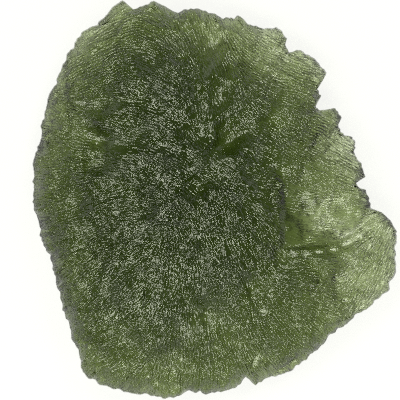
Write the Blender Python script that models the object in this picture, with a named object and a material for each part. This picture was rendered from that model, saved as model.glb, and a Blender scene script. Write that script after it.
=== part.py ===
"""A moldavite: a flat piece of green natural glass, etched all over, with a jagged rim.

The stone is one solid and rests on a small flat spot of its belly. Lengths are in metres,
+Z is up and +Y runs along the stone. The origin is on the surface that it rests on, under
the middle of its box.
"""

import bmesh
import bpy
import numpy as np

MM = 0.001

# The whole stone
LENGTH = 38.1 * MM
WIDTH = 34.8 * MM
RIM_HEIGHT = 3.3 * MM
CROWN_RISE = 4.6 * MM
BELLY_DROP = 3.05 * MM
LEAST_THICKNESS = 0.4 * MM

# The flat spot: where it is, how far across, and how far the belly would go below it
SPOT_MIDDLE = (-1.0 * MM, -0.4 * MM)
SPOT_ACROSS = 11.0 * MM
SPOT_CUT = 0.35 * MM
SPOT_POWER = 6

# The rim: its rounded nose, its waves up and down, and the stretches where it is blunt
NOSE_SHARE = 0.975
NOSE_HALF = 0.45 * MM
RIM_WAVES = [(2, 40.0, 0.45 * MM), (3, 110.0, 0.25 * MM), (7, 20.0, 0.12 * MM)]
BLUNT_RIM = [
    (-52.0, 17.0, 0.95 * MM),
    (-96.0, 24.0, 1.10 * MM),
    (-132.0, 15.0, 1.00 * MM),
    (186.0, 22.0, 0.70 * MM),
    (104.0, 12.0, 0.55 * MM),
    (15.0, 50.0, -0.25 * MM),
]
WAVE_POWER = 2
BLUNT_POWER = 4

# The worn stretches, where the rim falls off above and below, outside a line near the edge
BEVELS = [
    (-58.0, 20.0, 0.80 * MM),
    (-100.0, 26.0, 0.65 * MM),
    (-135.0, 18.0, 0.60 * MM),
    (180.0, 30.0, 0.50 * MM),
]
BEVEL_FROM = 0.90
BEVEL_OVER = 0.12

# How full the crown and the belly are: thickness = (1 - share ** first) ** second
CROWN_CURVE = (4.0, 0.85)
BELLY_CURVE = (3.5, 0.90)
INNER_BLEND = 5

# The arc over which the rim's mean is taken, to either side, and the steps over it
ARC_HALF = 0.4
ARC_STEPS = 17

# The mesh: cells across the crown and the belly, and rows around the rim's nose
CELLS_ACROSS = 44
NOSE_ROWS = 4

# The outline from above, clockwise from the left end of the top edge, in millimetres
OUTLINE_MM = [
    (-8.8, 19.0), (-7.9, 18.3), (-7.6, 18.3), (-5.8, 18.8), (-4.4, 18.1), (-3.6, 17.9),
    (-1.5, 18.2), (-0.1, 17.7), (1.8, 17.1), (2.1, 17.4), (3.5, 16.9), (4.7, 16.3),
    (5.8, 16.3), (6.4, 15.9), (7.0, 15.3), (6.8, 14.8), (7.1, 14.0), (7.8, 14.1),
    (8.8, 13.8), (9.8, 13.0), (10.8, 12.1), (10.6, 11.7), (9.8, 10.4), (10.2, 9.8),
    (9.7, 8.8), (10.1, 8.5), (11.5, 8.7), (12.1, 7.9), (11.9, 6.8), (12.2, 6.3),
    (13.1, 5.8), (13.5, 5.2), (13.4, 4.4), (13.9, 3.5), (14.3, 2.1), (13.6, 1.5),
    (14.0, 1.0), (14.5, 0.9), (15.0, -0.9), (16.1, -1.3), (17.4, -3.1), (17.3, -5.1),
    (17.2, -7.0), (16.3, -9.0), (14.7, -10.6), (12.4, -12.1), (11.0, -13.2), (10.6, -13.9),
    (8.4, -15.9), (7.0, -16.6), (5.3, -17.0), (3.9, -17.8), (3.0, -17.2), (1.9, -18.1),
    (-0.7, -18.7), (-2.4, -18.3), (-3.4, -18.9), (-4.6, -19.0), (-6.7, -18.6), (-9.1, -18.3),
    (-11.2, -17.8), (-12.7, -16.7), (-12.9, -15.0), (-13.5, -13.5), (-14.5, -10.3),
    (-15.3, -7.4), (-15.7, -6.0), (-16.6, -3.4), (-17.2, -1.6), (-17.4, 1.6), (-17.3, 3.8),
    (-16.6, 5.9), (-16.7, 7.1), (-16.2, 8.9), (-15.4, 10.9), (-14.6, 12.9), (-14.2, 13.9),
    (-13.4, 14.5), (-13.2, 15.3), (-12.0, 16.5), (-11.3, 16.7), (-10.6, 17.7), (-9.4, 18.6),
]

# Broad swells and hollows: x, y, half width and height (down is negative), in millimetres.
# The crown takes the larger part of each, and the belly the rest.
CROWN_PART = 0.65
SWELLS_MM = [
    (-13.5, 8, 4, -1.4), (-14.5, 1, 4, -0.3), (-13, -7, 4, -0.9), (-11, -14, 4, -1.2),
    (-9, 14, 4, -0.2), (-7, 0, 4, -0.5), (-7, -8, 4, -0.7), (-4, -16, 3.5, -3.3),
    (-1, 15, 3, -2.2), (0, 8, 4, -1.0), (1, 1, 4.5, 0.5), (1, -6, 4, -0.3),
    (2, -13, 4, -3.0), (5, 14, 3.5, -3.9), (6, 8, 4, -2.1), (7, 2, 4, -2.2),
    (7, -5, 4, -2.1), (8, -12, 4, -2.7), (10, 11, 3, -1.5), (12, 5, 3, -4.5),
    (11, -1, 3, -4.5), (14, -3, 2.5, -4.5), (13, -8, 3.5, -4.5),
    (-1.4, 1.2, 1.3, -1.3), (1.0, 6.0, 1.3, -1.2), (5.6, 0.3, 2.4, -0.9),
    (-1.4, -10.7, 1.4, -1.8), (-2.6, -8.3, 1.5, -0.9), (3.4, -8.3, 1.2, -0.9),
    (5.8, -13.1, 1.6, 2.0), (-8.5, -8.3, 1.2, 0.9), (-8.5, 10.8, 1.3, 1.1),
    (-6.2, 1.2, 1.2, 0.9), (-10.9, 3.6, 1.5, -1.3), (13.3, -1.7, 1.2, 1.4),
    (11.8, -4.0, 1.2, -0.9), (10.6, -6.0, 1.2, 0.9), (5.8, -6.0, 1.2, -0.9),
    (8.8, -2.8, 1.8, -1.2), (12.2, -1.1, 1.6, 1.5), (-13.3, -1.2, 1.2, -1.2),
    (3.4, 13.1, 1.2, -1.0), (-5.2, 14.5, 1.5, -1.0),
]

# Smooth valleys: x, y, half length and half width, turn in degrees, and depth
VALLEYS_MM = [
    (-0.2, 14.6, 3.6, 1.5, 80.0, 0.9),
    (-10.6, 5.6, 3.6, 1.5, -28.0, 0.7),
    (-10.0, 9.0, 2.2, 1.1, 12.0, 0.4),
    (0.6, 4.8, 3.2, 1.1, 32.0, 0.5),
]

# The scallop: where its left edge is and how wide, the start of its lower ridge and how much
# the ridge bends up, where its top runs out and how far, and its depth
SCALLOP_LEFT = (5.7 * MM, 1.4 * MM)
SCALLOP_RIDGE = (6.65 * MM, -4.95 * MM)
SCALLOP_BEND = 0.0049 / MM**2
SCALLOP_STEP = 0.8 * MM
SCALLOP_TOP = (-0.6 * MM, 3.5 * MM)
SCALLOP_DEPTH = 0.2 * MM
SCALLOP_FOOT = (0.15 * MM, 1.6 * MM)

# How much wider than the scallop the calm place around it is, where the scoops die down, and
# the share of them that dies down on the belly below it
SCALLOP_CALM = 1.4 * MM
BELLY_CALM = 0.7

# The etched relief: spacing and depth of the scoops of each size, and the grooves' run
SCOOP_LAYERS = [(4.8 * MM, 2.0 * MM, 11), (2.3 * MM, 1.6 * MM, 12)]
SCOOP_TABLE = 64
SCOOP_UNEVEN = 0.15
SCOOP_MOST = 0.8
SCOOP_MEAN = 0.2
BELLY_SEED_STEP = 40
GROOVE_SOURCE = (-1.0 * MM, 4.0 * MM)
GROOVE_STRETCH = 1.7
GROOVE_REACH = 9.0 * MM

# The share of the relief that is left at the rim, and where the stone is thin
RIM_KEEP = 0.25
RIM_POWER = 8
THIN_BODY = 3.5 * MM
THIN_KEEP = 0.5

GLASS_COLOUR = (0.075, 0.115, 0.025, 1.0)
GLASS_ROUGHNESS = 0.22
GLASS_IOR = 1.49


def clear_scene():
    """Removes every object, so that the file can run again."""
    for thing in list(bpy.data.objects):
        bpy.data.objects.remove(thing, do_unlink=True)


def rim_radius(angle):
    """Distance of the rim from the middle in each direction."""
    x, y = np.array(OUTLINE_MM).T * MM
    directions = np.arctan2(y, x)
    order = np.argsort(directions)
    return np.interp(angle, directions[order], np.hypot(x, y)[order], period=2 * np.pi)


def plain_radius(angle):
    """The rim without its teeth: its mean over an arc to both sides."""
    arc = np.linspace(-ARC_HALF, ARC_HALF, ARC_STEPS)
    return np.mean([rim_radius(angle + turn) for turn in arc], axis=0)


def rim_bump(angle, middle, half_width):
    """A bell along the rim, 1 in one direction (in degrees) and 0 away from it."""
    away = np.angle(np.exp(1j * (angle - np.radians(middle))))
    return np.exp(-((away / np.radians(half_width)) ** 2))


def swell(x, y):
    """The sum of the broad bells."""
    height = np.zeros_like(x)
    for middle_x, middle_y, half_width, rise in SWELLS_MM:
        away = np.hypot(x / MM - middle_x, y / MM - middle_y) / half_width
        height += rise * MM * np.exp(-(away**2))
    return height


def smooth_step(value):
    """0 below 0 and 1 above 1, with an even bend between."""
    value = np.clip(value, 0, 1)
    return value**2 * (3 - 2 * value)


def valleys(x, y):
    """Depth of the smooth valleys."""
    depth = np.zeros_like(x)
    for middle_x, middle_y, half_length, half_width, turn, deep in VALLEYS_MM:
        turned = np.exp(1j * np.radians(turn))
        local = ((x / MM - middle_x) + 1j * (y / MM - middle_y)) / turned
        away = (local.real / half_length) ** 2 + (local.imag / half_width) ** 2
        depth += deep * MM * np.clip(1 - away, 0, None) ** 2
    return depth


def scallop_inside(x, y, wider):
    """1 inside the scallop and 0 outside, with a bend over its left edge and its lower ridge
    that may be made wider, and how far each point is above the ridge."""
    bend = SCALLOP_BEND * np.clip(x - SCALLOP_RIDGE[0], 0, None) ** 3
    above = y - SCALLOP_RIDGE[1] - bend
    left = smooth_step((x - SCALLOP_LEFT[0] + wider / 2) / (SCALLOP_LEFT[1] + wider))
    low = smooth_step((above + wider / 2) / (SCALLOP_STEP + wider))
    top = 1 - smooth_step((y - SCALLOP_TOP[0]) / SCALLOP_TOP[1])
    return left * low * top, np.clip(above, 0, None)


def scallop(x, y):
    """Depth of the scallop, deepest at the foot of its lower ridge."""
    inside, above = scallop_inside(x, y, 0.0)
    return inside * (SCALLOP_DEPTH + SCALLOP_FOOT[0] * np.exp(-above / SCALLOP_FOOT[1]))


def scoops(x, y, spacing, seed):
    """Rounded hollows side by side with crests between them, about -0.2 to 0.3 high.

    A middle is drawn in every cell of a square grid. The height at a point follows the square
    of its distance to the nearest middle, measured shorter along the grooves' run. Half of
    the square's own square comes off, which rounds the crests.
    """
    drawn = np.random.default_rng(seed).random((SCOOP_TABLE, SCOOP_TABLE, 3))
    run = np.arctan2(y - GROOVE_SOURCE[1], x - GROOVE_SOURCE[0])
    reach = np.hypot(x - GROOVE_SOURCE[0], y - GROOVE_SOURCE[1]) / GROOVE_REACH
    stretch = 1 + (GROOVE_STRETCH - 1) * np.clip(reach, 0, 1)
    column = np.floor(x / spacing).astype(int)
    row = np.floor(y / spacing).astype(int)
    nearest = np.full_like(x, 9.0)
    for step_x in range(-2, 3):
        for step_y in range(-2, 3):
            i, j = column + step_x, row + step_y
            middle = drawn[i % SCOOP_TABLE, j % SCOOP_TABLE]
            dx = x / spacing - i - middle[..., 0]
            dy = y / spacing - j - middle[..., 1]
            along = (dx * np.cos(run) + dy * np.sin(run)) / stretch
            across = dy * np.cos(run) - dx * np.sin(run)
            distance = along**2 + across**2 + SCOOP_UNEVEN * middle[..., 2]
            nearest = np.minimum(nearest, distance)
    nearest = np.clip(nearest, 0, SCOOP_MOST)
    return nearest * (1 - nearest / 2) - SCOOP_MEAN


def etched(x, y, seed_step):
    """The height of the etched relief, in metres."""
    height = np.zeros_like(x)
    for spacing, depth, seed in SCOOP_LAYERS:
        height += depth * scoops(x, y, spacing, seed + seed_step)
    return height


def place(share, angle):
    """x and y at a share of the way out: the rim's teeth fade out towards the middle."""
    plain = plain_radius(angle)
    radius = share * (plain + (rim_radius(angle) - plain) * share**INNER_BLEND)
    return radius * np.cos(angle), radius * np.sin(angle)


def rim_level(share, angle):
    """Height of the rim's edge, even in the middle and waving towards the rim."""
    level = np.full_like(angle, RIM_HEIGHT)
    for count, start, rise in RIM_WAVES:
        level += rise * np.sin(count * angle + np.radians(start)) * share**WAVE_POWER
    return level


def nose_half(share, angle):
    """Half the thickness of the rim's nose."""
    half = np.full_like(angle, NOSE_HALF)
    for middle, half_width, extra in BLUNT_RIM:
        half += extra * rim_bump(angle, middle, half_width) * share**BLUNT_POWER
    return half


def bevel(share, angle):
    """How far the worn rim falls off above and below, outside a line near the edge."""
    fall = np.zeros_like(angle)
    for middle, half_width, deep in BEVELS:
        fall += deep * rim_bump(angle, middle, half_width)
    return fall * smooth_step((share - BEVEL_FROM) / BEVEL_OVER)


def fullness(share, curve):
    """1 in the middle and 0 at the rim."""
    return (1 - np.clip(share, 0, 1) ** curve[0]) ** curve[1]


def relief_left(body, share):
    """How much of the relief is left: less at the rim and where the stone is thin."""
    rim = 1 - (1 - RIM_KEEP) * share**RIM_POWER
    return rim * (THIN_KEEP + (1 - THIN_KEEP) * np.clip(body / THIN_BODY, 0, 1))


def crown_height(x, y, share, angle):
    """The top of the stone."""
    body = (CROWN_RISE + CROWN_PART * swell(x, y)) * fullness(share, CROWN_CURVE)
    calm = scallop_inside(x, y, SCALLOP_CALM)[0]
    relief = etched(x, y, 0) * (1 - calm) - scallop(x, y) - valleys(x, y)
    edge = rim_level(share, angle) + nose_half(share, angle) - bevel(share, angle)
    return edge + body + relief * relief_left(body, share)


def belly_height(x, y, share, angle):
    """The underside of the stone, cut off at the flat spot."""
    body = (BELLY_DROP + (1 - CROWN_PART) * swell(x, y)) * fullness(share, BELLY_CURVE)
    calm = BELLY_CALM * scallop_inside(x, y, SCALLOP_CALM)[0]
    relief = etched(x, y, BELLY_SEED_STEP) * (1 - calm) * relief_left(body, share)
    height = rim_level(share, angle) - nose_half(share, angle) - body + relief
    away = np.hypot(x - SPOT_MIDDLE[0], y - SPOT_MIDDLE[1]) / (SPOT_ACROSS / 2)
    towards_spot = np.exp(-(away**SPOT_POWER))
    height = height * (1 - towards_spot) - SPOT_CUT * towards_spot
    return np.maximum(height, 0)


def blank():
    """A cube, cut into even cells on its top and bottom and into rows around its sides."""
    mesh = bmesh.new()
    bmesh.ops.create_cube(mesh, size=2.0)
    level = [edge for edge in mesh.edges if abs(edge.verts[0].co.z - edge.verts[1].co.z) < 1]
    bmesh.ops.subdivide_edges(mesh, edges=level, cuts=CELLS_ACROSS - 1, use_grid_fill=True)
    upright = [edge for edge in mesh.edges if abs(edge.verts[0].co.z - edge.verts[1].co.z) > 1]
    bmesh.ops.subdivide_edges(mesh, edges=upright, cuts=NOSE_ROWS - 1)
    return mesh


def stone_points(cube):
    """Where each point of the cut cube goes: the square faces become discs inside the outline."""
    u, v, w = cube.T
    disc_x = u * np.sqrt(1 - v**2 / 2)
    disc_y = v * np.sqrt(1 - u**2 / 2)
    angle = np.arctan2(disc_y, disc_x)
    on_nose = np.cos(w * np.pi / 2)
    share = np.hypot(disc_x, disc_y) * NOSE_SHARE + on_nose * (1 - NOSE_SHARE)
    x, y = place(share, angle)
    crown = crown_height(x, y, share, angle)
    belly = belly_height(x, y, share, angle)
    crown = np.maximum(crown, belly + LEAST_THICKNESS)
    lean = np.sin(w * np.pi / 2)
    z = (crown + belly) / 2 + lean * (crown - belly) / 2
    return np.column_stack([x, y, z])


def to_size(points):
    """The points stretched to the stone's length and width and centred over the origin."""
    low, high = points.min(axis=0), points.max(axis=0)
    points[:, :2] -= (low[:2] + high[:2]) / 2
    points[:, 0] *= WIDTH / (high[0] - low[0])
    points[:, 1] *= LENGTH / (high[1] - low[1])
    return points


def glass():
    """Green natural glass with a dull, etched skin."""
    material = bpy.data.materials.new("moldavite glass")
    material.use_nodes = True
    shader = material.node_tree.nodes["Principled BSDF"]
    shader.inputs["Base Color"].default_value = GLASS_COLOUR
    shader.inputs["Roughness"].default_value = GLASS_ROUGHNESS
    shader.inputs["Metallic"].default_value = 0.0
    shader.inputs["IOR"].default_value = GLASS_IOR
    material.diffuse_color = GLASS_COLOUR
    return material


def moldavite(collection):
    """The stone: the cut cube drawn out to its shape."""
    blank_mesh = blank()
    cube = np.array([vert.co[:] for vert in blank_mesh.verts])
    points = to_size(stone_points(cube))
    for vert, point in zip(blank_mesh.verts, points):
        vert.co = point
    bmesh.ops.recalc_face_normals(blank_mesh, faces=blank_mesh.faces)
    mesh = bpy.data.meshes.new("moldavite")
    blank_mesh.to_mesh(mesh)
    blank_mesh.free()
    mesh.shade_smooth()
    mesh.materials.append(glass())
    stone = bpy.data.objects.new("moldavite", mesh)
    collection.objects.link(stone)
    return stone


def main():
    clear_scene()
    collection = bpy.data.collections.new("moldavite")
    bpy.context.scene.collection.children.link(collection)
    moldavite(collection)


main()
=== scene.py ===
# %% [markdown]
# # A moldavite on a light floor
# Moldavite is green natural glass. Where it lay in the ground it was etched, so its skin is
# covered in scoops and grooves, and light comes through its thin places. This lesson makes the
# stone as one closed surface of glass, and lights it so that the etched skin glints.
#
# First the frame: the solid that the stone is built over, and its box.

import bpy
import numpy as np
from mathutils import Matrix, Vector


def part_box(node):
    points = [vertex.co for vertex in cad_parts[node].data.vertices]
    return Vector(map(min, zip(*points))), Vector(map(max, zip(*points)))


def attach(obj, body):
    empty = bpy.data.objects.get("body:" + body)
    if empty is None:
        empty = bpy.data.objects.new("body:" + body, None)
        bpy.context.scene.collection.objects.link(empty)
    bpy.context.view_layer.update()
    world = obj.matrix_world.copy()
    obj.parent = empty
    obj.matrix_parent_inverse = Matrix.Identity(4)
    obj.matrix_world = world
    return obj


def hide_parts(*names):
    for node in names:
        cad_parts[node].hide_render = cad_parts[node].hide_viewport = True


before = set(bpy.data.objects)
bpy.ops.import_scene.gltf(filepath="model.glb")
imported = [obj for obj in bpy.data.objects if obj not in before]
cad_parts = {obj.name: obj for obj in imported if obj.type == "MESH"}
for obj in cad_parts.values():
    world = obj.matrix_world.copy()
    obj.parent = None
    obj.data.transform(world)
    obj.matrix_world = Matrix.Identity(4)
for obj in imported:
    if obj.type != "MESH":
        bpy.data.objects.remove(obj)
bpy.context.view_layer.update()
MM_A_METRE = 1000
BOX_LOW, BOX_HIGH = (np.array(corner) * MM_A_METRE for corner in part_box("moldavite"))
print("box in mm:", BOX_LOW.round(2), BOX_HIGH.round(2))

# %% [markdown]
# ## The camera
# The stone is seen from straight above. A long lens from far away keeps the high middle from
# looking wider than the rim, as it does with a lens close by.

# %% Camera
MM = 0.001
MM_A_PIXEL = 0.0955
PICTURE_PIXELS = 400
STONE_MIDDLE_PIXEL = (214.4, 199.7)
LENS_MM = 200.0
SENSOR_MM = 36.0
RIM_HEIGHT = 3.3


def straight_down_camera():
    """A camera over the picture's middle, as high as its lens needs to see 400 pixels."""
    data = bpy.data.cameras.new("camera")
    data.lens = LENS_MM
    data.sensor_width = SENSOR_MM
    camera = bpy.data.objects.new("camera", data)
    bpy.context.scene.collection.objects.link(camera)
    middle = PICTURE_PIXELS / 2
    x = (middle - STONE_MIDDLE_PIXEL[0]) * MM_A_PIXEL
    y = (STONE_MIDDLE_PIXEL[1] - middle) * MM_A_PIXEL
    away = PICTURE_PIXELS * MM_A_PIXEL * LENS_MM / SENSOR_MM
    camera.location = (x * MM, y * MM, (away + RIM_HEIGHT) * MM)
    bpy.context.scene.camera = camera
    return camera


camera = straight_down_camera()
print("camera at", [round(value, 4) for value in camera.location])

# %% [markdown]
# ## The studio
# A stone of clear glass shows what is around it. A bright floor sends light up through its
# thin places. The room is pale low down, which the steep rim shows, and dark overhead, which
# leaves the thick middle dark. Five small lamps high up give the many short glints on the
# etched skin, and three low ones light the steep slopes near the rim.

# %% Floor, room and lamps
FLOOR_SIZE = 3.0
FLOOR_GAP = 0.0001
FLOOR_GLOW = 0.82
FLOOR_LIGHT = (1.0, 1.0, 0.985, 1.0)
FLOOR_COLOUR = (0.12, 0.12, 0.118, 1.0)
FLOOR_ROUGHNESS = 0.9
FLOOR_SHINE = 0.1
ROOM_LOW = (0.90, 0.90, 0.88, 1.0)
ROOM_HIGH = (0.05, 0.05, 0.05, 1.0)
ROOM_EDGES = (0.10, 0.35)
LAMP_DISTANCE = 0.5
LAMP_COLOUR = (0.95, 1.0, 0.80)
FILTER_PIXELS = 1.2
# Turn and lean in degrees, size in metres, radiance
LAMPS = [
    (50, 28, 0.16, 11.0), (115, 30, 0.16, 11.0), (170, 32, 0.16, 11.0), (230, 26, 0.16, 11.0),
    (285, 26, 0.16, 11.0), (200, 62, 0.18, 5.0), (262, 62, 0.18, 5.0), (318, 60, 0.18, 9.0),
]


def pale_floor():
    """A wide plane just under the stone, lit by itself and by the lamps."""
    bpy.ops.mesh.primitive_plane_add(size=FLOOR_SIZE, location=(0, 0, -FLOOR_GAP))
    floor = bpy.context.object
    floor.name = "floor"
    material = bpy.data.materials.new("pale floor")
    material.use_nodes = True
    shader = material.node_tree.nodes["Principled BSDF"]
    shader.inputs["Base Color"].default_value = FLOOR_COLOUR
    shader.inputs["Roughness"].default_value = FLOOR_ROUGHNESS
    shader.inputs["Specular IOR Level"].default_value = FLOOR_SHINE
    shader.inputs["Emission Color"].default_value = FLOOR_LIGHT
    shader.inputs["Emission Strength"].default_value = FLOOR_GLOW
    floor.data.materials.append(material)
    return floor


def lamp(number, turn, lean, size, radiance):
    """A square lamp that looks at the stone, turned round it and leaning off the vertical. Its
    power is the radiance times pi times its area."""
    data = bpy.data.lights.new(f"lamp {number}", "AREA")
    data.shape = "SQUARE"
    data.size = size
    data.energy = radiance * np.pi * size**2
    data.color = LAMP_COLOUR
    light = bpy.data.objects.new(f"lamp {number}", data)
    bpy.context.scene.collection.objects.link(light)
    turn, lean = np.radians(turn), np.radians(lean)
    light.location = (
        LAMP_DISTANCE * np.sin(lean) * np.cos(turn),
        LAMP_DISTANCE * np.sin(lean) * np.sin(turn),
        LAMP_DISTANCE * np.cos(lean),
    )
    light.rotation_euler = (0, lean, turn)
    return light


def room():
    """A world that is pale near the floor and dark overhead."""
    world = bpy.data.worlds.new("room")
    world.use_nodes = True
    nodes, links = world.node_tree.nodes, world.node_tree.links
    direction = nodes.new("ShaderNodeTexCoord").outputs["Generated"]
    split = nodes.new("ShaderNodeSeparateXYZ")
    links.new(direction, split.inputs["Vector"])
    blend = nodes.new("ShaderNodeMapRange")
    blend.inputs["From Min"].default_value = ROOM_EDGES[0]
    blend.inputs["From Max"].default_value = ROOM_EDGES[1]
    links.new(split.outputs["Z"], blend.inputs["Value"])
    shades = nodes.new("ShaderNodeMix")
    shades.data_type = "RGBA"
    colours = [socket for socket in shades.inputs if socket.type == "RGBA"]
    colours[0].default_value = ROOM_LOW
    colours[1].default_value = ROOM_HIGH
    links.new(blend.outputs["Result"], shades.inputs["Factor"])
    result = [socket for socket in shades.outputs if socket.type == "RGBA"][0]
    links.new(result, nodes["Background"].inputs["Color"])
    bpy.context.scene.world = world


floor = pale_floor()
for number, values in enumerate(LAMPS):
    lamp(number, *values)
room()
bpy.context.scene.view_settings.view_transform = "Standard"
bpy.context.scene.cycles.use_denoising = False
bpy.context.scene.cycles.filter_width = FILTER_PIXELS
print(len(LAMPS), "lamps")

# %% [markdown]
# ## The outline
# The rim is jagged: teeth and notches where the glass chipped and was etched. Points in
# millimetres, one at each bigger turn of the edge, give the big steps, and a fine seeded
# ripple gives the small ones. Further in, the teeth fade out, so that they don't run to the
# middle as spokes.

# %% Outline
OUTLINE_MM = [
    (-8.8, 19.0), (-7.9, 18.3), (-7.6, 18.3), (-5.8, 18.8), (-4.4, 18.1), (-3.6, 17.9),
    (-1.5, 18.2), (-0.1, 17.7), (1.8, 17.1), (2.1, 17.4), (3.5, 16.9), (4.7, 16.3),
    (5.8, 16.3), (6.4, 15.9), (7.0, 15.3), (6.8, 14.8), (7.1, 14.0), (7.8, 14.1),
    (8.8, 13.8), (9.8, 13.0), (10.8, 12.1), (10.6, 11.7), (9.8, 10.4), (10.2, 9.8),
    (9.7, 8.8), (10.1, 8.5), (11.5, 8.7), (12.1, 7.9), (11.9, 6.8), (12.2, 6.3),
    (13.1, 5.8), (13.5, 5.2), (13.4, 4.4), (13.9, 3.5), (14.3, 2.1), (13.6, 1.5),
    (14.0, 1.0), (14.5, 0.9), (15.0, -0.9), (16.1, -1.3), (17.4, -3.1), (17.3, -5.1),
    (17.2, -7.0), (16.3, -9.0), (14.7, -10.6), (12.4, -12.1), (11.0, -13.2), (10.6, -13.9),
    (8.4, -15.9), (7.0, -16.6), (5.3, -17.0), (3.9, -17.8), (3.0, -17.2), (1.9, -18.1),
    (-0.7, -18.7), (-2.4, -18.3), (-3.4, -18.9), (-4.6, -19.0), (-6.7, -18.6), (-9.1, -18.3),
    (-11.2, -17.8), (-12.7, -16.7), (-12.9, -15.0), (-13.5, -13.5), (-14.5, -10.3),
    (-15.3, -7.4), (-15.7, -6.0), (-16.6, -3.4), (-17.2, -1.6), (-17.4, 1.6), (-17.3, 3.8),
    (-16.6, 5.9), (-16.7, 7.1), (-16.2, 8.9), (-15.4, 10.9), (-14.6, 12.9), (-14.2, 13.9),
    (-13.4, 14.5), (-13.2, 15.3), (-12.0, 16.5), (-11.3, 16.7), (-10.6, 17.7), (-9.4, 18.6),
]
TEETH_POWER = 5
RIPPLE_POWER = 16
ARC_HALF = 0.4
ARC_STEPS = 17
# Number of teeth round the rim, height, seed
RIPPLES = [(90, 0.16, 3), (210, 0.13, 4), (400, 0.10, 5)]


def rim_radius(angle):
    """Distance of the rim from the middle: straight lines in angle between the points."""
    x, y = np.array(OUTLINE_MM).T
    directions = np.arctan2(y, x)
    order = np.argsort(directions)
    return np.interp(angle, directions[order], np.hypot(x, y)[order], period=2 * np.pi)


def plain_radius(angle):
    """The rim without its teeth: its mean over an arc to both sides."""
    arc = np.linspace(-ARC_HALF, ARC_HALF, ARC_STEPS)
    return np.mean([rim_radius(angle + turn) for turn in arc], axis=0)


def ripple(angle):
    """Small teeth: seeded heights at even steps of the angle, joined by straight lines."""
    total = np.zeros_like(angle)
    for count, height, seed in RIPPLES:
        drawn = np.random.default_rng(seed).uniform(-height, height, count)
        steps = np.arange(count) * 2 * np.pi / count
        total += np.interp(angle, steps, drawn, period=2 * np.pi)
    return total


def place(share, angle):
    """x and y at a share of the way out: share times the radius, with teeth near the rim."""
    plain = plain_radius(angle)
    teeth = (rim_radius(angle) - plain) * share**TEETH_POWER + ripple(angle) * share**RIPPLE_POWER
    radius = share * (plain + teeth)
    return radius * np.cos(angle), radius * np.sin(angle)


print(len(OUTLINE_MM), "outline points")

# %% [markdown]
# ## The run of the grooves
# Etching follows the glass's flow lines, so the grooves are combed: mostly outwards from a
# place above the middle. Arrows, each at a spot of the stone, say how the grooves run there.
# In between the directions are averaged, nearer arrows counting more.

# %% Groove directions
# Place, and direction in degrees
GROOVE_ARROWS = [
    (-12.5, 6.0, -20), (-7.0, 7.0, -14), (-12.0, 0.5, 8), (-12.5, -5.0, 30),
    (-9.0, -8.5, 38), (-10.5, -13.5, 35), (-4.5, -9.0, 75), (-2.0, -15.5, 84),
    (1.5, -12.0, -75), (5.0, -14.5, -52), (9.5, -13.5, -38), (3.5, -3.5, -62),
    (0.0, -3.5, -70), (6.0, 0.0, -12), (10.0, 4.0, -22), (13.0, 4.5, -28),
    (11.0, -1.5, 10), (9.5, -7.0, -12), (14.5, -7.0, 60), (5.5, 6.5, -35),
    (8.0, 10.5, -12), (5.0, 14.0, -28), (-0.3, 14.0, -72), (-0.5, 9.0, -80),
    (-6.0, 12.0, -30), (-10.5, 13.0, 28), (-5.0, 3.0, -35), (-9.0, -1.0, 15),
]
ARROW_REACH = 3.0


def groove_run(x, y):
    """Direction of the grooves: the mean of the arrows, weighted by a bell of the distance."""
    total = np.zeros_like(x, dtype=complex)
    for arrow_x, arrow_y, degrees in GROOVE_ARROWS:
        away = ((x - arrow_x) ** 2 + (y - arrow_y) ** 2) / ARROW_REACH**2
        total += np.exp(-away) * np.exp(2j * np.radians(degrees))
    return np.angle(total) / 2


print(len(GROOVE_ARROWS), "groove arrows")

# %% [markdown]
# ## Scoops
# Etched glass is all rounded hollows with sharp crests between them. One rule makes them at
# every size: draw a middle in each cell of a grid, and let the height be the squared distance
# to the nearest middle. Measured shorter along the grooves, the scoops become grooves.

# %% Scoop relief
TABLE = 64
FAR = 9.0
UNEVEN = 0.15
MOST = 0.8
LUMP_MEAN = 0.2
FINE_MEAN = 0.15
FINE_LONGER = 0.8
FINE_FLATTER = 0.8
GROOVE_SOURCE = (-1.0, 4.0)
GROOVE_STRETCH = 1.7
GROOVE_REACH = 9.0


def nearest_middle(x, y, spacing, seed, run, stretch):
    """The squared distance to the nearest drawn middle, in cells: small in a scoop's middle
    and large on its crest."""
    drawn = np.random.default_rng(seed).random((TABLE, TABLE, 3))
    column = np.floor(x / spacing).astype(int)
    row = np.floor(y / spacing).astype(int)
    nearest = np.full_like(x, FAR)
    cos_run, sin_run = np.cos(run), np.sin(run)
    for step_x in range(-2, 3):
        for step_y in range(-2, 3):
            i, j = column + step_x, row + step_y
            place_in_cell = drawn[i % TABLE, j % TABLE]
            dx = x / spacing - i - place_in_cell[..., 0]
            dy = y / spacing - j - place_in_cell[..., 1]
            along = (dx * cos_run + dy * sin_run) / stretch
            across = dy * cos_run - dx * sin_run
            distance = along**2 + across**2 + UNEVEN * place_in_cell[..., 2]
            nearest = np.minimum(nearest, distance)
    return np.clip(nearest, 0, MOST)


def lumps(x, y, layers, seed_step):
    """The big scoops, the same ones as in the solid: outward run, longer away from the middle.
    Their crests are rounded: the squared distance less half of its own square."""
    run = np.arctan2(y - GROOVE_SOURCE[1], x - GROOVE_SOURCE[0])
    reach = np.hypot(x - GROOVE_SOURCE[0], y - GROOVE_SOURCE[1]) / GROOVE_REACH
    stretch = 1 + (GROOVE_STRETCH - 1) * np.clip(reach, 0, 1)
    height = np.zeros_like(x)
    for spacing, depth, seed in layers:
        scoop = nearest_middle(x, y, spacing, seed + seed_step, run, stretch)
        height += depth * (scoop * (1 - scoop / 2) - LUMP_MEAN)
    return height


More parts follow.
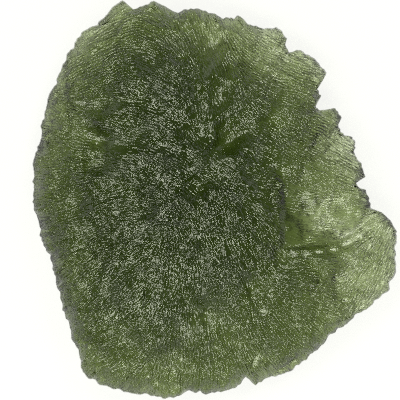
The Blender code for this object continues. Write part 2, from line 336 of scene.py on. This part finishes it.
def fine_etching(x, y, layers, smooth):
    """The fine scoops along the combed run: shallower and longer where the skin is smooth."""
    run = groove_run(x, y)
    height = np.zeros_like(x)
    for spacing, depth, stretch, seed in layers:
        longer = stretch * (1 + FINE_LONGER * np.clip(smooth, 0, 1))
        scoop = nearest_middle(x, y, spacing, seed, run, longer)
        height += depth * (1 - FINE_FLATTER * smooth) * (scoop - FINE_MEAN)
    return height


print(TABLE**2, "scoop middles drawn for each layer")

# %% [markdown]
# ## The form of the stone
# The stone is a lens: full in the middle, thin at the rim. Broad swells and hollows make it
# thicker and thinner, which shows as darker and lighter green. The smooth scallop on the
# right, with its crisp lower ridge, is where a flake broke off. The rim ends in a round nose,
# blunt in some stretches and sharp in others, and is worn to a bevel along the bottom and left.

# %% Swells, hollows and rim
CROWN_RISE = 4.6
BELLY_DROP = 3.05
LEAST_THICKNESS = 0.4
SPOT_MIDDLE = (-1.0, -0.4)
SPOT_ACROSS = 11.0
SPOT_CUT = 0.35
SPOT_POWER = 6
NOSE_SHARE = 0.975
NOSE_HALF = 0.45
# Number of waves, where they start in degrees, rise
RIM_WAVES = [(2, 40.0, 0.45), (3, 110.0, 0.25), (7, 20.0, 0.12)]
WAVE_POWER = 2
# Direction and half width in degrees, how much thicker
BLUNT_RIM = [
    (-52.0, 17.0, 0.95), (-96.0, 24.0, 1.10), (-132.0, 15.0, 1.00), (186.0, 22.0, 0.70),
    (104.0, 12.0, 0.55), (15.0, 50.0, -0.25),
]
BLUNT_POWER = 4
# Direction and half width in degrees, fall
BEVELS = [
    (-58.0, 20.0, 0.80), (-100.0, 26.0, 0.65), (-135.0, 18.0, 0.60), (180.0, 30.0, 0.50),
]
BEVEL_FROM = 0.90
BEVEL_OVER = 0.12
CROWN_CURVE = (4.0, 0.85)
BELLY_CURVE = (3.5, 0.90)
CROWN_PART = 0.65
# Place, half width, rise. The first 23 rises are the result of a fit of the stone's thickness
# to how light the pictured stone is. The others were set one by one, also after its lightness.
SWELLS = [
    (-13.5, 8, 4, -1.4), (-14.5, 1, 4, -0.3), (-13, -7, 4, -0.9), (-11, -14, 4, -1.2),
    (-9, 14, 4, -0.2), (-7, 0, 4, -0.5), (-7, -8, 4, -0.7), (-4, -16, 3.5, -3.3),
    (-1, 15, 3, -2.2), (0, 8, 4, -1.0), (1, 1, 4.5, 0.5), (1, -6, 4, -0.3),
    (2, -13, 4, -3.0), (5, 14, 3.5, -3.9), (6, 8, 4, -2.1), (7, 2, 4, -2.2),
    (7, -5, 4, -2.1), (8, -12, 4, -2.7), (10, 11, 3, -1.5), (12, 5, 3, -4.5),
    (11, -1, 3, -4.5), (14, -3, 2.5, -4.5), (13, -8, 3.5, -4.5),
    (-1.4, 1.2, 1.3, -1.3), (1.0, 6.0, 1.3, -1.2), (5.6, 0.3, 2.4, -0.9),
    (-1.4, -10.7, 1.4, -1.8), (-2.6, -8.3, 1.5, -0.9), (3.4, -8.3, 1.2, -0.9),
    (5.8, -13.1, 1.6, 2.0), (-8.5, -8.3, 1.2, 0.9), (-8.5, 10.8, 1.3, 1.1),
    (-6.2, 1.2, 1.2, 0.9), (-10.9, 3.6, 1.5, -1.3), (13.3, -1.7, 1.2, 1.4),
    (11.8, -4.0, 1.2, -0.9), (10.6, -6.0, 1.2, 0.9), (5.8, -6.0, 1.2, -0.9),
    (8.8, -2.8, 1.8, -1.2), (12.2, -1.1, 1.6, 1.5), (-13.3, -1.2, 1.2, -1.2),
    (3.4, 13.1, 1.2, -1.0), (-5.2, 14.5, 1.5, -1.0),
]
# Place, half length, half width, turn in degrees, depth
VALLEYS = [
    (-0.2, 14.6, 3.6, 1.5, 80.0, 0.9), (-10.6, 5.6, 3.6, 1.5, -28.0, 0.7),
    (-10.0, 9.0, 2.2, 1.1, 12.0, 0.4), (0.6, 4.8, 3.2, 1.1, 32.0, 0.5),
]
SCALLOP_LEFT = (6.0, 0.8)
SCALLOP_RIDGE = (6.65, -4.95, 0.0049)
SCALLOP_TOP = (-0.6, 3.5)
SCALLOP_DEEP = (0.2, 0.35, 1.2)
SCALLOP_STEP = 0.5
SCALLOP_CALM = 1.4


def rim_bump(angle, middle, half_width):
    """A bell along the rim, 1 in one direction (in degrees) and 0 away from it."""
    away = np.angle(np.exp(1j * (angle - np.radians(middle))))
    return np.exp(-((away / np.radians(half_width)) ** 2))


def swell(x, y):
    """The sum of broad bells: height times e to the minus squared distance in half widths."""
    height = np.zeros_like(x)
    for middle_x, middle_y, half_width, rise in SWELLS:
        away = np.hypot(x - middle_x, y - middle_y) / half_width
        height += rise * np.exp(-(away**2))
    return height


def smooth_step(value):
    """0 below 0 and 1 above 1, with an even bend between."""
    value = np.clip(value, 0, 1)
    return value**2 * (3 - 2 * value)


def oval(x, y, middle_x, middle_y, half_length, half_width, turn):
    """Squared distance from the middle of a turned oval, 1 on the oval itself: each part of
    the distance is measured in halves of the oval's length or width."""
    turned = np.exp(1j * np.radians(turn))
    local = ((x - middle_x) + 1j * (y - middle_y)) / turned
    return (local.real / half_length) ** 2 + (local.imag / half_width) ** 2


def valleys(x, y):
    """Depth of the valleys: the square of one minus the squared distance from the middle."""
    depth = np.zeros_like(x)
    for middle_x, middle_y, half_length, half_width, turn, deep in VALLEYS:
        away = oval(x, y, middle_x, middle_y, half_length, half_width, turn)
        depth += deep * np.clip(1 - away, 0, None) ** 2
    return depth


def scallop_inside(x, y, wider):
    """1 inside the scallop and 0 outside, with a bend over its left edge and its lower ridge
    that may be made wider, and how far each point is above the ridge."""
    ridge_x, ridge_y, bend = SCALLOP_RIDGE
    above = y - ridge_y - bend * np.clip(x - ridge_x, 0, None) ** 3
    left = smooth_step((x - SCALLOP_LEFT[0] + wider / 2) / (SCALLOP_LEFT[1] + wider))
    low = smooth_step((above + wider / 2) / (SCALLOP_STEP + wider))
    top = 1 - smooth_step((y - SCALLOP_TOP[0]) / SCALLOP_TOP[1])
    return left * low * top, np.clip(above, 0, None)


def scallop(x, y):
    """Depth of the scallop, and how far inside it each point is. It has a straight left edge
    and a lower ridge that bends upwards to the right, and runs out gently at the top."""
    inside, above = scallop_inside(x, y, 0.0)
    shallow, more, reach = SCALLOP_DEEP
    return inside * (shallow + more * np.exp(-above / reach)), inside


def rim_level(share, angle):
    """Height of the rim's edge: even in the middle, with slow waves towards the rim."""
    level = np.full_like(angle, RIM_HEIGHT)
    for count, start, rise in RIM_WAVES:
        level += rise * np.sin(count * angle + np.radians(start)) * share**WAVE_POWER
    return level


def nose_half(share, angle):
    """Half the thickness of the rim's rounded nose."""
    half = np.full_like(angle, NOSE_HALF)
    for middle, half_width, extra in BLUNT_RIM:
        half += extra * rim_bump(angle, middle, half_width) * share**BLUNT_POWER
    return half


def bevel(share, angle):
    """How far the top falls off at the worn rim, outside a line near the edge."""
    fall = np.zeros_like(angle)
    for middle, half_width, deep in BEVELS:
        fall += deep * rim_bump(angle, middle, half_width)
    return fall * smooth_step((share - BEVEL_FROM) / BEVEL_OVER)


def fullness(share, curve):
    """1 in the middle and 0 at the rim: one minus a power of the share, to a power."""
    return (1 - np.clip(share, 0, 1) ** curve[0]) ** curve[1]


print(len(SWELLS), "swells and", len(VALLEYS), "valleys")

# %% [markdown]
# ## Smooth patches and flat spots
# Some patches of the crown are smoother than the rest: a list of long ovals says where. Here
# and there a chip left a small flat spot, which shines where it mirrors a lamp. The last six of
# them follow the scallop's lower ridge, as its pale crest.

# %% Patches and spots
# Place, half length, half width, turn in degrees, how smooth
SMOOTH_PATCHES = [
    (-10.4, 5.5, 3.4, 1.3, -30, 0.85), (0.5, 4.7, 3.0, 1.0, 31, 0.8),
    (3.9, 6.7, 1.7, 1.3, 20, 0.75), (-0.2, 14.8, 3.2, 1.2, 80, 0.8),
    (0.7, 11.9, 2.2, 1.2, 75, 0.8), (-10.0, 9.0, 2.0, 1.0, 10, 0.75),
    (-6.2, 12.9, 1.8, 1.1, -20, 0.7), (-12.8, 0.2, 1.4, 0.8, 0, 0.7),
    (-0.9, -11.5, 2.7, 1.3, 10, 0.55), (-10.2, -8.1, 2.7, 1.4, 35, 0.45),
    (12.6, -6.9, 1.6, 1.3, 0, 0.8), (6.0, 11.0, 2.6, 1.4, -20, 0.5),
]
# Place, half length, half width, turn in degrees, number of the lamp
FACETS = [
    (4.64, -10.63, 0.55, 0.36, 10, 3), (-9.2, -1.27, 0.40, 0.30, 0, 1),
    (3.97, -15.3, 1.00, 0.28, 59, 3), (12.47, -9.58, 0.42, 0.32, 0, 3),
    (-12.6, 9.14, 0.75, 0.24, -12, 1), (-13.7, 7.8, 0.24, 0.20, 0, 1),
    (-11.4, 14.6, 0.24, 0.20, 0, 0), (-0.42, -1.65, 0.22, 0.20, 0, 2),
    (0.25, -2.99, 0.22, 0.20, 0, 2), (3.2, -11.5, 0.24, 0.22, 0, 3),
    (7.6, -15.6, 0.55, 0.25, 45, 3), (6.4, -16.4, 0.35, 0.25, 30, 2),
    (14.1, -10.4, 0.6, 0.3, 60, 3), (7.4, -5.15, 0.6, 0.32, -3, 0),
    (8.6, -5.20, 0.6, 0.34, 3, 1), (9.9, -5.05, 0.7, 0.34, 6, 0),
    (11.3, -4.80, 0.7, 0.34, 14, 1), (12.6, -4.25, 0.7, 0.32, 26, 0),
    (13.8, -3.50, 0.7, 0.30, 34, 0),
]


def smoothness(x, y):
    """How smooth the crown is: 1 in the scallop, and a flat-topped bell over each patch."""
    smooth = scallop(x, y)[1]
    for middle_x, middle_y, half_length, half_width, turn, strength in SMOOTH_PATCHES:
        away = oval(x, y, middle_x, middle_y, half_length, half_width, turn)
        smooth = np.maximum(smooth, strength * np.exp(-(away**2)))
    return smooth


def facets(x, y, height):
    """Small flat spots, each tilted half way to one lamp, so that it mirrors the lamp."""
    flat = np.zeros_like(x)
    for middle_x, middle_y, half_length, half_width, turn, number in FACETS:
        away = oval(x, y, middle_x, middle_y, half_length, half_width, turn)
        inside = np.exp(-(away**4))
        lamp_turn, lamp_lean = np.radians(LAMPS[number][:2])
        slope = -np.tan(lamp_lean / 2)
        tilt = slope * ((x - middle_x) * np.cos(lamp_turn) + (y - middle_y) * np.sin(lamp_turn))
        level = np.sum(height * inside) / np.sum(inside)
        height = height * (1 - inside) + (level + tilt) * inside
        flat = np.maximum(flat, inside)
    return height, flat


print(len(SMOOTH_PATCHES), "smooth patches and", len(FACETS), "flat spots")

# %% [markdown]
# ## Crown and belly
# The top and the underside are two height fields over the same outline. Each is the lens,
# plus its swells, minus its hollows, plus the etched relief: two sizes of big scoops and two
# sizes of fine ones, rougher towards the rim. The belly is cut off flat where the stone rests.

# %% Heights
# Spacing, depth, seed
LUMP_LAYERS = [(4.8, 2.0, 11), (2.3, 1.6, 12)]
# Spacing, depth, how much longer along the grooves, seed
CROWN_FINE_LAYERS = [(1.15, 0.42, 1.8, 21), (0.60, 0.18, 2.2, 22)]
BELLY_FINE_LAYERS = [(1.10, 0.45, 1.5, 61), (0.62, 0.16, 1.6, 62)]
BELLY_SEED_STEP = 40
RIM_KEEP = 0.25
THIN_BODY = 3.5
THIN_KEEP = 0.5
BELLY_CALM = 0.7
RIM_ROUGHER = 3.5
RIM_POWER = 8
ROUGHER_POWER = 12


def lump_fade(body, share):
    """How much of the big scoops is left: less at the rim and where the stone is thin."""
    rim = 1 - (1 - RIM_KEEP) * share**RIM_POWER
    return rim * (THIN_KEEP + (1 - THIN_KEEP) * np.clip(body / THIN_BODY, 0, 1))


def crown_height(x, y, share, angle):
    """The top of the stone, in millimetres."""
    body = (CROWN_RISE + CROWN_PART * swell(x, y)) * fullness(share, CROWN_CURVE)
    calm = scallop_inside(x, y, SCALLOP_CALM)[0]
    relief = lumps(x, y, LUMP_LAYERS, 0) * (1 - calm) - scallop(x, y)[0] - valleys(x, y)
    relief = relief * lump_fade(body, share)
    smooth = smoothness(x, y) - RIM_ROUGHER * share**ROUGHER_POWER
    fine = fine_etching(x, y, CROWN_FINE_LAYERS, smooth)
    height = rim_level(share, angle) + nose_half(share, angle) - bevel(share, angle)
    height += body + relief + fine
    return facets(x, y, height)[0]


def belly_height(x, y, share, angle):
    """The underside of the stone, cut off at the flat spot, in millimetres."""
    body = (BELLY_DROP + (1 - CROWN_PART) * swell(x, y)) * fullness(share, BELLY_CURVE)
    calm = 1 - BELLY_CALM * scallop_inside(x, y, SCALLOP_CALM)[0]
    relief = lumps(x, y, LUMP_LAYERS, BELLY_SEED_STEP) * calm * lump_fade(body, share)
    fine = fine_etching(x, y, BELLY_FINE_LAYERS, np.zeros_like(x))
    height = rim_level(share, angle) - nose_half(share, angle) - body + relief - fine
    away = np.hypot(x - SPOT_MIDDLE[0], y - SPOT_MIDDLE[1]) / (SPOT_ACROSS / 2)
    towards_spot = np.exp(-(away**SPOT_POWER))
    height = height * (1 - towards_spot) - SPOT_CUT * towards_spot
    return np.maximum(height, 0)


print(len(LUMP_LAYERS), "sizes of big scoops and", len(CROWN_FINE_LAYERS), "of fine ones")

# %% [markdown]
# ## Grids and rings
# The mesh is one closed surface. Two square grids, one for the crown and one for the belly, are
# bent into discs, and rings of faces will join them round the rim. The belly, which is hardly
# seen, has half as many cells each way, so its border is joined two to one.

# %% Grids and rings
CROWN_CELLS = 264
BELLY_CELLS = CROWN_CELLS // 2


def disc(cells):
    """Share of the way out and direction for each point of a square grid bent into a disc:
    each coordinate times the root of one minus half the other's square."""
    line = np.linspace(-1, 1, cells + 1)
    u, v = np.meshgrid(line, line, indexing="ij")
    disc_x = u * np.sqrt(1 - v**2 / 2)
    disc_y = v * np.sqrt(1 - u**2 / 2)
    return np.hypot(disc_x, disc_y), np.arctan2(disc_y, disc_x)


def border(cells):
    """The numbers of a grid's border points in order, anticlockwise from its first corner."""
    number = np.arange((cells + 1) ** 2).reshape(cells + 1, cells + 1)
    sides = [number[:-1, 0], number[-1, :-1], number[:0:-1, -1], number[0, :0:-1]]
    return np.concatenate(sides)


def grid_faces(cells, first, upwards):
    """Four-sided faces of a grid whose points are numbered from first."""
    number = first + np.arange((cells + 1) ** 2).reshape(cells + 1, cells + 1)
    corners = [number[:-1, :-1], number[1:, :-1], number[1:, 1:], number[:-1, 1:]]
    if not upwards:
        corners = corners[::-1]
    return np.stack([corner.ravel() for corner in corners], axis=1)


def ring_faces(upper, lower):
    """Four-sided faces between two rings of as many points, facing outwards."""
    return np.stack([upper, lower, np.roll(lower, -1), np.roll(upper, -1)], axis=1)


def two_to_one_faces(upper, lower):
    """Triangles between a ring and one with half as many points, three to each lower edge."""
    first, middle, last = upper[::2], upper[1::2], np.roll(upper[::2], -1)
    after = np.roll(lower, -1)
    fans = [(first, lower, middle), (middle, lower, after), (middle, after, last)]
    return np.concatenate([np.stack(fan, axis=1) for fan in fans])


print("points on the borders:", len(border(CROWN_CELLS)), "and", len(border(BELLY_CELLS)))

# %% [markdown]
# ## One closed surface
# The grids get their places inside the outline and their heights, and the rows of the rounded
# nose go between them. All points are whole arrays, and the mesh takes them in one go.

# %% Surface
NOSE_ROWS = 4


def new_mesh(name, points, quads, triangles):
    """A mesh from an array of points in millimetres, four-sided faces and triangles."""
    mesh = bpy.data.meshes.new(name)
    corners = np.concatenate([quads.ravel(), triangles.ravel()]).astype(np.int32)
    sides = np.concatenate([np.full(len(quads), 4), np.full(len(triangles), 3)])
    mesh.vertices.add(len(points))
    mesh.vertices.foreach_set("co", (points * MM).astype(np.float32).ravel())
    mesh.loops.add(len(corners))
    mesh.loops.foreach_set("vertex_index", corners)
    mesh.polygons.add(len(sides))
    starts = np.concatenate([[0], np.cumsum(sides)[:-1]])
    mesh.polygons.foreach_set("loop_start", starts.astype(np.int32))
    mesh.update(calc_edges=True)
    mesh.validate()
    mesh.shade_smooth()
    return mesh


def sheet_points(cells, height, other_height, side):
    """Points of the crown (side 1) or of the belly (side -1), kept a little apart."""
    share, angle = disc(cells)
    share = (share * NOSE_SHARE).ravel()
    angle = angle.ravel()
    x, y = place(share, angle)
    z = height(x, y, share, angle)
    if side > 0:
        z = np.maximum(z, other_height(x, y, share, angle) + LEAST_THICKNESS)
    return np.column_stack([x, y, z]), angle


def nose_points(angle, crown_z, belly_z):
    """The rows between crown and belly: a half circle round the rim's edge."""
    rows = []
    for row in range(1, NOSE_ROWS):
        lean = np.pi / 2 * (1 - 2 * row / NOSE_ROWS)
        share = NOSE_SHARE + (1 - NOSE_SHARE) * np.cos(lean)
        x, y = place(np.full_like(angle, share), angle)
        z = (crown_z + belly_z) / 2 + np.sin(lean) * (crown_z - belly_z) / 2
        rows.append(np.column_stack([x, y, z]))
    return rows


def to_box(points):
    """The points stretched to the solid's length and width."""
    low, high = points.min(axis=0), points.max(axis=0)
    scale = (BOX_HIGH - BOX_LOW)[:2] / (high - low)[:2]
    points[:, :2] = (points[:, :2] - low[:2]) * scale + BOX_LOW[:2]
    return points


def stone_mesh():
    """The crown's grid, the rows round the rim and the belly's grid as one closed mesh."""
    crown, crown_angle = sheet_points(CROWN_CELLS, crown_height, belly_height, 1)
    belly = sheet_points(BELLY_CELLS, belly_height, crown_height, -1)[0]
    crown_ring = border(CROWN_CELLS)
    belly_ring = border(BELLY_CELLS)
    angle = crown_angle[crown_ring]
    crown_z = crown[crown_ring, 2]
    order = np.arange(len(crown_ring))
    belly_z = np.interp(order / 2, order[: len(belly_ring)], belly[belly_ring, 2],
                        period=len(belly_ring))
    rows = nose_points(angle, crown_z, belly_z)
    points = np.concatenate([crown, *rows, belly])
    starts = len(crown) + np.arange(NOSE_ROWS) * len(crown_ring)
    rings = [crown_ring] + [start + order for start in starts[:-1]]
    quads = [grid_faces(CROWN_CELLS, 0, True)]
    quads += [ring_faces(upper, lower) for upper, lower in zip(rings, rings[1:])]
    quads.append(grid_faces(BELLY_CELLS, starts[-1], False))
    triangles = two_to_one_faces(rings[-1], starts[-1] + belly_ring)
    return new_mesh("stone", to_box(points), np.concatenate(quads), triangles)


mesh = stone_mesh()
triangles = sum(len(face.vertices) - 2 for face in mesh.polygons)
print("stone:", len(mesh.vertices), "points,", triangles, "triangles")

# %% [markdown]
# ## What the glass has to know of each point
# The fine ridges in the glass follow the grooves, and they differ from place to place. So each
# point of the mesh carries three attributes: "run" is the grooves' direction and how smooth the
# skin is, "soft" is how worn it is, and "level" is how flat it lies. The direction is doubled
# and written as cosine and sine, so that it has no jump where a groove turns by half a turn.

# %% Attributes
SOFT_FROM = 0.45
SOFT_OVER = 0.40
RIM_GRAIN = 4.0
GRAIN_POWER = 16
FLAT_SMOOTH = 2.0


def read_vectors(items, name):
    """The vectors of all points of a mesh, one to a row."""
    values = np.empty(len(items) * 3, np.float32)
    items.foreach_get(name, values)
    return values.reshape(-1, 3)


def write_attribute(mesh, name, kind, field, values):
    """An attribute with a value or a vector for each point."""
    attribute = mesh.attributes.new(name, kind, "POINT")
    attribute.data.foreach_set(field, values.astype(np.float32).ravel())


def add_attributes(mesh):
    """Writes run, soft and level. Only the crown is smooth in patches and has flat spots."""
    x, y, z = read_vectors(mesh.vertices, "co").T.astype(float) / MM
    share = np.hypot(x, y) / rim_radius(np.arctan2(y, x))
    on_crown = z > RIM_HEIGHT
    grain = RIM_GRAIN * np.clip(share, 0, 1) ** GRAIN_POWER
    smooth = np.where(on_crown, smoothness(x, y), 0) - grain
    flat = facets(x, y, z)[1] * on_crown
    soft = np.maximum(smooth_step((share - SOFT_FROM) / SOFT_OVER), np.clip(smooth, 0, 1))
    run = groove_run(x, y)
    smooth = np.maximum(smooth, FLAT_SMOOTH * flat)
    vectors = np.column_stack([np.cos(2 * run), np.sin(2 * run), smooth])
    level = read_vectors(mesh.vertex_normals, "vector")[:, 2]
    write_attribute(mesh, "soft", "FLOAT", "value", soft * (1 - flat))
    write_attribute(mesh, "level", "FLOAT", "value", level)
    write_attribute(mesh, "run", "FLOAT_VECTOR", "vector", vectors)


add_attributes(mesh)
stone = bpy.data.objects.new("stone", mesh)
bpy.context.scene.collection.objects.link(stone)
print("attributes:", [layer.name for layer in mesh.attributes])

# %% [markdown]
# ## Helpers for the glass
# The glass is made of a few short node chains. Each helper adds one node, sets its values and
# links it, and most of them return the socket that the next node reads.

# %% Node helpers
def add(nodes, kind, **values):
    """A new node with the given input values, an underscore standing for a space."""
    node = nodes.new(kind)
    for name, value in values.items():
        node.inputs[name.replace("_", " ")].default_value = value
    return node


def math(nodes, links, operation, *terms):
    """The result of a Math node of up to three sockets or numbers."""
    node = nodes.new("ShaderNodeMath")
    node.operation = operation
    for socket, term in zip(node.inputs, terms):
        if isinstance(term, (int, float)):
            socket.default_value = term
        else:
            links.new(term, socket)
    return node.outputs["Value"]


def mapped(nodes, links, value, before, after):
    """A value taken from one range to another, and held at its ends."""
    node = add(
        nodes, "ShaderNodeMapRange",
        From_Min=before[0], From_Max=before[1], To_Min=after[0], To_Max=after[1],
    )
    links.new(value, node.inputs["Value"])
    return node.outputs["Result"]


def noise(nodes, links, where, scale, detail):
    """Soft noise over the stone, from 0 to 1."""
    node = add(nodes, "ShaderNodeTexNoise", Scale=scale, Detail=detail)
    links.new(where, node.inputs["Vector"])
    return node.outputs["Fac"]


def attribute(nodes, name, output):
    """A socket of the mesh's attribute with this name."""
    node = nodes.new("ShaderNodeAttribute")
    node.attribute_name = name
    return node.outputs[output]


print("helpers made: add, math, mapped, noise, attribute")

# %% [markdown]
# ## Dull skin, ridges and pits
# Etched glass is a little dull, patchy and duller still at the rim. Its finest ridges are too
# small for the mesh: they are a bump, combed along the run, weaker in the smooth patches and on
# steep slopes, and stronger in clusters. Where the skin isn't smooth, small pits cover it too.

# %% Roughness and bump
PATCH_SCALE = 500.0
PATCH_DETAIL = 3.0
PATCH_RANGE = (0.3, 0.7)
ROUGHNESS_RANGE = (0.14, 0.24)
SOFT_ROUGHNESS = 0.02
FROST_RANGE = (0.0, -0.8)
FROST_ROUGHNESS = (0.0, 0.02)
CLUSTER_SCALE = 450.0
CLUSTER_DETAIL = 1.0
CLUSTER_RANGE = (0.38, 0.62)
CLUSTER_STRENGTH = (0.25, 1.25)
RIDGE_SCALE = 1850.0
RIDGE_FREQUENCY = 2.0
RIDGE_HEIGHT = 0.00018
RIDGE_ALIGNMENT = 0.95
RIDGE_TURN = np.pi / 2
RIDGE_CLUSTERING = 0.5
SMOOTH_RANGE = (0.0, 1.1)
SMOOTH_RIDGES = (1.0, 0.12)
SOFT_RIDGES = 0.8
PIT_SCALE = 2300.0
PIT_DEPTH = 0.00006
PIT_FADE = -0.9


def dullness(nodes, links, where, smooth, soft):
    """Roughness: patches, a little more where the skin is soft, and frost at the rim."""
    patches = noise(nodes, links, where, PATCH_SCALE, PATCH_DETAIL)
    patchy = mapped(nodes, links, patches, PATCH_RANGE, ROUGHNESS_RANGE)
    frosted = mapped(nodes, links, smooth, FROST_RANGE, FROST_ROUGHNESS)
    softer = math(nodes, links, "MULTIPLY_ADD", soft, SOFT_ROUGHNESS, patchy)
    return math(nodes, links, "ADD", softer, frosted)


def ridge_height(nodes, links, where, run, smooth, soft, level, clusters):
    """Ridges along the run: Gabor noise times what makes them stronger or weaker here."""
    doubled = math(nodes, links, "ARCTAN2", run.outputs["Y"], run.outputs["X"])
    direction = math(nodes, links, "MULTIPLY_ADD", doubled, 0.5, RIDGE_TURN)
    ridges = add(
        nodes, "ShaderNodeTexGabor",
        Scale=RIDGE_SCALE, Frequency=RIDGE_FREQUENCY, Anisotropy=RIDGE_ALIGNMENT,
    )
    links.new(where, ridges.inputs["Vector"])
    links.new(direction, ridges.inputs["Orientation"])
    strength = math(
        nodes, links, "MULTIPLY_ADD", clusters, RIDGE_CLUSTERING, 1 - RIDGE_CLUSTERING,
    )
    plainer = mapped(nodes, links, smooth, SMOOTH_RANGE, SMOOTH_RIDGES)
    combed = math(nodes, links, "MULTIPLY_ADD", soft, SOFT_RIDGES, 1.0)
    for factor in (plainer, combed, level):
        strength = math(nodes, links, "MULTIPLY", strength, factor)
    return math(nodes, links, "MULTIPLY", ridges.outputs["Value"], strength)


def pit_height(nodes, links, where, smooth, level, clusters):
    """Round pits: the squared distance to the nearest cell middle, where the skin is rough."""
    rough = math(nodes, links, "MULTIPLY_ADD", smooth, PIT_FADE, 1.0)
    rough.node.use_clamp = True
    for factor in (clusters, level):
        rough = math(nodes, links, "MULTIPLY", rough, factor)
    cells = add(nodes, "ShaderNodeTexVoronoi", Scale=PIT_SCALE)
    links.new(where, cells.inputs["Vector"])
    distance = cells.outputs["Distance"]
    squared = math(nodes, links, "MULTIPLY", distance, distance)
    return math(nodes, links, "MULTIPLY", squared, rough)


print("ridges of", round(RIDGE_HEIGHT / MM, 2), "mm and pits of", round(PIT_DEPTH / MM, 2), "mm")

# %% [markdown]
# ## The glass
# Clear green glass is transmission, an index of refraction and an absorption that takes more
# light the longer the way through. So the thick middle is dark green and the thin rim is pale,
# with one colour and one density for the whole stone.

# %% Glass material
GLASS_TINT = (0.94, 0.98, 0.88, 1.0)
GLASS_IOR = 1.49
GLASS_ABSORPTION_COLOUR = (0.537, 0.60, 0.31, 1.0)
GLASS_ABSORPTION_DENSITY = 945.0


def glass_material():
    """Transmission with plain absorption, patchy roughness and a fine ridged bump."""
    material = bpy.data.materials.new("moldavite glass")
    material.use_nodes = True
    nodes, links = material.node_tree.nodes, material.node_tree.links
    shader = nodes["Principled BSDF"]
    shader.inputs["Base Color"].default_value = GLASS_TINT
    shader.inputs["Metallic"].default_value = 0.0
    shader.inputs["IOR"].default_value = GLASS_IOR
    shader.inputs["Transmission Weight"].default_value = 1.0

    where = nodes.new("ShaderNodeTexCoord").outputs["Object"]
    run = nodes.new("ShaderNodeSeparateXYZ")
    links.new(attribute(nodes, "run", "Vector"), run.inputs["Vector"])
    smooth = run.outputs["Z"]
    soft = attribute(nodes, "soft", "Fac")
    level = attribute(nodes, "level", "Fac")
    links.new(dullness(nodes, links, where, smooth, soft), shader.inputs["Roughness"])

    clusters = noise(nodes, links, where, CLUSTER_SCALE, CLUSTER_DETAIL)
    clusters = mapped(nodes, links, clusters, CLUSTER_RANGE, CLUSTER_STRENGTH)
    ridges = add(nodes, "ShaderNodeBump", Strength=1.0, Distance=RIDGE_HEIGHT)
    height = ridge_height(nodes, links, where, run, smooth, soft, level, clusters)
    links.new(height, ridges.inputs["Height"])
    pits = add(nodes, "ShaderNodeBump", Strength=1.0, Distance=PIT_DEPTH)
    links.new(pit_height(nodes, links, where, smooth, level, clusters), pits.inputs["Height"])
    links.new(ridges.outputs["Normal"], pits.inputs["Normal"])
    links.new(pits.outputs["Normal"], shader.inputs["Normal"])

    absorption = add(
        nodes, "ShaderNodeVolumeAbsorption",
        Color=GLASS_ABSORPTION_COLOUR, Density=GLASS_ABSORPTION_DENSITY,
    )
    links.new(absorption.outputs["Volume"], nodes["Material Output"].inputs["Volume"])
    return material


stone.data.materials.append(glass_material())
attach(stone, "root")
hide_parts("moldavite")
print("glass on", stone.name)
